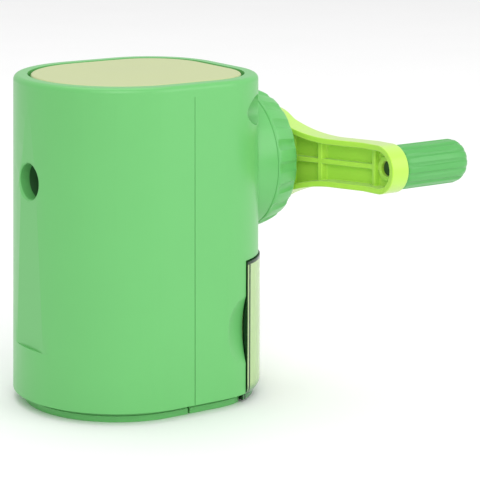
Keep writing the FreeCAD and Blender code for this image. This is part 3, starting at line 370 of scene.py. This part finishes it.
# Flutes: each ring's points move towards the axis by Depth, times their share, times a wave round the axis.
# A Fullness under 1 makes each dish fuller, and 1 leaves it a plain wave.
flute_tree, given = new_tree("soft_flutes", Flutes="Int", Depth="Float", Fullness="Float", Centre="Vector")
here = flute_tree.nodes.new("GeometryNodeInputPosition")
from_axis = flute_tree.nodes.new("ShaderNodeVectorMath")
from_axis.operation = "SUBTRACT"
flute_tree.links.new(here.outputs["Position"], from_axis.inputs[0])
flute_tree.links.new(given["Centre"], from_axis.inputs[1])
split = flute_tree.nodes.new("ShaderNodeSeparateXYZ")
flute_tree.links.new(from_axis.outputs["Vector"], split.inputs["Vector"])
turn = calc(flute_tree, "ARCTAN2", split.outputs["Y"], split.outputs["Z"])
wave = calc(flute_tree, "COSINE", calc(flute_tree, "MULTIPLY", turn, given["Flutes"]))
dish = calc(flute_tree, "POWER", calc(flute_tree, "MAXIMUM", wave, 0), given["Fullness"])
own_share = flute_tree.nodes.new("GeometryNodeInputNamedAttribute")
own_share.data_type = "FLOAT"
own_share.inputs["Name"].default_value = "flute_share"
deepest = calc(flute_tree, "MULTIPLY", given["Depth"], own_share.outputs["Attribute"])
inward = calc(flute_tree, "MULTIPLY", calc(flute_tree, "MULTIPLY", dish, deepest), -1)
shift = flute_tree.nodes.new("ShaderNodeCombineXYZ")
for axis, operation in (("Y", "SINE"), ("Z", "COSINE")):
    along = calc(flute_tree, "MULTIPLY", inward, calc(flute_tree, operation, turn))
    flute_tree.links.new(along, shift.inputs[axis])
moved = flute_tree.nodes.new("GeometryNodeSetPosition")
flute_tree.links.new(given["Geometry"], moved.inputs["Geometry"])
flute_tree.links.new(shift.outputs["Vector"], moved.inputs["Offset"])
close_tree(flute_tree, given, moved.outputs["Geometry"])

# Lugs: one block, seated at a distance from the axis and repeated evenly round it.
lug_tree, given = new_tree("bayonet_lugs", Lugs="Int", Size="Vector", Seat="Vector", Centre="Vector")
block = lug_tree.nodes.new("GeometryNodeMeshCube")
lug_tree.links.new(given["Size"], block.inputs["Size"])
seated = lug_tree.nodes.new("GeometryNodeTransform")
lug_tree.links.new(block.outputs["Mesh"], seated.inputs["Geometry"])
lug_tree.links.new(given["Seat"], seated.inputs["Translation"])
turns_at = lug_tree.nodes.new("GeometryNodeMeshLine")
turns_at.inputs["Offset"].default_value = (0, 0, 0)
lug_tree.links.new(given["Lugs"], turns_at.inputs["Count"])
lug_tree.links.new(given["Centre"], turns_at.inputs["Start Location"])
number = lug_tree.nodes.new("GeometryNodeInputIndex").outputs["Index"]
part_turn = calc(lug_tree, "DIVIDE", calc(lug_tree, "MULTIPLY", number, 2 * math.pi), given["Lugs"])
swing = lug_tree.nodes.new("ShaderNodeCombineXYZ")
lug_tree.links.new(part_turn, swing.inputs["X"])
copies = lug_tree.nodes.new("GeometryNodeInstanceOnPoints")
lug_tree.links.new(turns_at.outputs["Mesh"], copies.inputs["Points"])
lug_tree.links.new(seated.outputs["Geometry"], copies.inputs["Instance"])
lug_tree.links.new(swing.outputs["Vector"], copies.inputs["Rotation"])
whole = lug_tree.nodes.new("GeometryNodeJoinGeometry")
lug_tree.links.new(given["Geometry"], whole.inputs["Geometry"])
lug_tree.links.new(copies.outputs["Instances"], whole.inputs["Geometry"])
close_tree(lug_tree, given, whole.outputs["Geometry"])

axis_height = 0.0665
housing_centre = (0, 0, axis_height)
boss_front = 0.0253
boss_radius = 0.0178
boss_bore = 0.0160
bore_floor = 0.0415
shaft_bore = 0.00508
ring_front = 0.03715
ring_rear = 0.0455
housing_profile = [
    (boss_front, boss_bore, 0), (boss_front, boss_radius, 0), (ring_front, boss_radius, 0),
    (ring_front, 0.0207, 0), (0.03722, 0.02092, 0), (0.03740, 0.02108, 0), (0.0377, 0.02118, 0.1),
    (0.0383, 0.0212, 0.6), (0.0391, 0.0211, 1), (0.0406, 0.0208, 1), (0.0420, 0.02045, 1),
    (0.0434, 0.0200, 1), (0.0444, 0.0196, 0.9), (0.0450, 0.0193, 0.6), (0.04535, 0.01895, 0.25),
    (ring_rear, 0.0184, 0), (ring_rear, 0.0150, 0), (ring_rear, shaft_bore, 0),
    (bore_floor, shaft_bore, 0), (bore_floor, boss_bore, 0),
]
housing_flutes = {"Flutes": 20, "Depth": 0.0009, "Fullness": 0.6}
lugs = {"Lugs": 3, "Size": (0.0016, 0.009, 0.0023), "Seat": (0.0261, 0, 0.01815)}
housing_skin = turned("gear_housing", housing_profile, housing_centre, steps=240)
run_tree(housing_skin, flute_tree, **housing_flutes, Centre=housing_centre, Material=body_green)
run_tree(housing_skin, lug_tree, **lugs, Centre=housing_centre, Material=body_green)
stand_in(softened(housing_skin), body_green)


# ------------------------------------------------------------------ mechanism and fasteners
# Plated steel pins, screws, washers and gears, a cast zinc carrier, a ground steel cutter, and a ring gear
# and a thrust washer in white acetal. All keep their CAD shapes.
def metal(name, colour, roughness, brushing):
    """Bare metal with fine marks from turning or tumbling."""
    material = bpy.data.materials.new(name)
    material.use_nodes = True
    tree = material.node_tree
    shader = tree.nodes["Principled BSDF"]
    shader.inputs["Metallic"].default_value = 1
    marks = speckle(tree, 900, 4, brushing)
    tint = blended(tree, marks, tuple(c * 0.9 for c in colour), colour)
    tree.links.new(tint, shader.inputs["Base Color"])
    gloss = spread(tree, marks, roughness - 0.08, roughness + 0.1)
    tree.links.new(gloss, shader.inputs["Roughness"])
    return material


lathe_marks = (1, 6, 6)
zinc_plate = metal("zinc_plate", (0.74, 0.75, 0.76), 0.3, lathe_marks)
cast_zinc = metal("cast_zinc", (0.55, 0.55, 0.57), 0.5, (1, 1, 1))
tool_steel = metal("tool_steel", (0.50, 0.50, 0.52), 0.25, (0.2, 4, 4))
white_acetal = plastic("white_acetal", (0.75, 0.75, 0.70), roughness=0.4, grain=0.2)
finished(zinc_plate, "shell_screws", "crank_screw", "crank_washer")
finished(zinc_plate, "cutter_pin", "cutter_washers", "pinion_gear", "drive_shaft")
finished(tool_steel, "helical_cutter")
finished(cast_zinc, "cutter_carrier")
finished(white_acetal, "ring_gear", "thrust_washer")

# ------------------------------------------------------------------ crank arm
# A lime ABS channel with ribs, open towards the body, moulded in one piece and screwed to the drive shaft.
# Its rivet, whose collar spaces the knob, is steel, coloured a dark green-black as painted shade for the
# recess it sits in.
# The arm's paler tint where it is seen at a slant is a painted sheen.
arm_lime = plastic("arm_lime", (0.43, 0.78, 0.045), roughness=0.30, grain=0.2, painted_sheen=(0.56, 0.70, 0.28))
arm_edge = 0.0003
stand_in(moulded("crank_arm", arm_edge), arm_lime)
# The rivet's dark green-black is painted shade of the arm's recess, not a finish of its own.
black_oxide = metal("black_oxide", (0.10, 0.13, 0.09), 0.45, lathe_marks)
finished(black_oxide, "knob_pin")

# ------------------------------------------------------------------ knob
# A grip in a slightly deeper green ABS that turns on the rivet: a turned shape with a blind bore, and soft
# flutes that die out in its domed end.
knob_green = plastic("knob_green", (0.088, 0.400, 0.092), roughness=0.30, grain=0.2)
crank_radius = 0.0445
crank_rise = math.radians(1.8)
knob_side = -crank_radius * math.cos(crank_rise)
knob_height = axis_height + crank_radius * math.sin(crank_rise)
knob_centre = (0, knob_side, knob_height)
knob_front = 0.0613
knob_end = 0.0850
knob_radius = 0.00645
bore_end = 0.0791
bore_radius = 0.00213
knob_profile = [
    (bore_end, 0, 0), (bore_end, bore_radius, 0), (knob_front, bore_radius, 0), (knob_front, 0.0058, 0),
    (0.06137, 0.0061, 0), (0.0617, 0.00635, 0.3), (0.0625, knob_radius, 1), (0.0700, knob_radius, 1),
    (0.0775, knob_radius, 1), (0.0817, knob_radius, 1), (0.0829, 0.0062, 0.8), (0.0840, 0.00555, 0.45),
    (0.08465, 0.0047, 0.15), (0.08492, 0.0036, 0), (knob_end, 0.0020, 0), (knob_end, 0, 0),
]
knob_flutes = {"Flutes": 14, "Depth": 0.0004, "Fullness": 1.0}
knob_skin = turned("knob", knob_profile, knob_centre, steps=168)
run_tree(knob_skin, flute_tree, **knob_flutes, Centre=knob_centre, Material=knob_green)
stand_in(softened(knob_skin), knob_green)

# ------------------------------------------------------------------ shavings drawer
# Clear styrene tinted lime, polished, in one moulding. Its broad faces are pale, and painted shade makes it
# a deep green: along the top of the panel, at its foot, and in a line down each side.
drawer_clear = bpy.data.materials.new("drawer_clear")
drawer_clear.use_nodes = True
drawer_tree = drawer_clear.node_tree
drawer_shader = drawer_tree.nodes["Principled BSDF"]
drawer_shader.inputs["Transmission Weight"].default_value = 0.3
drawer_shader.inputs["IOR"].default_value = 1.5
drawer_shader.inputs["Specular IOR Level"].default_value = 0.3
drawer_place = drawer_tree.nodes.new("ShaderNodeTexCoord")
drawer_axes = drawer_tree.nodes.new("ShaderNodeSeparateXYZ")
drawer_tree.links.new(drawer_place.outputs["Object"], drawer_axes.inputs["Vector"])


def past(axis, start, end):
    """0 up to the start and 1 from the end, along one axis of the drawer."""
    ramp = drawer_tree.nodes.new("ShaderNodeMapRange")
    ramp.inputs["From Min"].default_value = start
    ramp.inputs["From Max"].default_value = end
    drawer_tree.links.new(drawer_axes.outputs[axis], ramp.inputs["Value"])
    return ramp.outputs["Result"]


tray_half_width = 0.0255
side_line = calc(drawer_tree, "MULTIPLY", past("X", 0.02140, 0.02145), past("X", 0.02215, 0.0221))
side_edge = past("X", 0.02085, 0.02068)
from_middle = calc(drawer_tree, "ABSOLUTE", drawer_axes.outputs["Y"])
beside_tray = calc(drawer_tree, "GREATER_THAN", from_middle, tray_half_width)
panel_sides = calc(drawer_tree, "MULTIPLY", calc(drawer_tree, "MAXIMUM", side_line, side_edge), beside_tray)
top_rim = past("Z", 0.04125, 0.0415)
# Painted shade: a near-black green along the top of the panel and in a line down each side.
painted_edge_shade = calc(drawer_tree, "MAXIMUM", panel_sides, top_rim)
# Painted shade: a darker green band at the drawer's foot.
foot = past("Z", 0.0062, 0.0032)
streaks = speckle(drawer_tree, 420, stretch=(1, 1, 0.06))
pale_faces = blended(drawer_tree, streaks, (0.42, 0.66, 0.24), (0.66, 0.86, 0.46))
with_painted_foot_shade = blended(drawer_tree, foot, pale_faces, (0.07, 0.30, 0.09))
drawer_colour = blended(drawer_tree, painted_edge_shade, with_painted_foot_shade, (0.008, 0.04, 0.014))
drawer_tree.links.new(drawer_colour, drawer_shader.inputs["Base Color"])
drawer_tree.links.new(spread(drawer_tree, streaks, 0.12, 0.22), drawer_shader.inputs["Roughness"])
drawer_edge = 0.0002
stand_in(moulded("drawer", drawer_edge), drawer_clear)
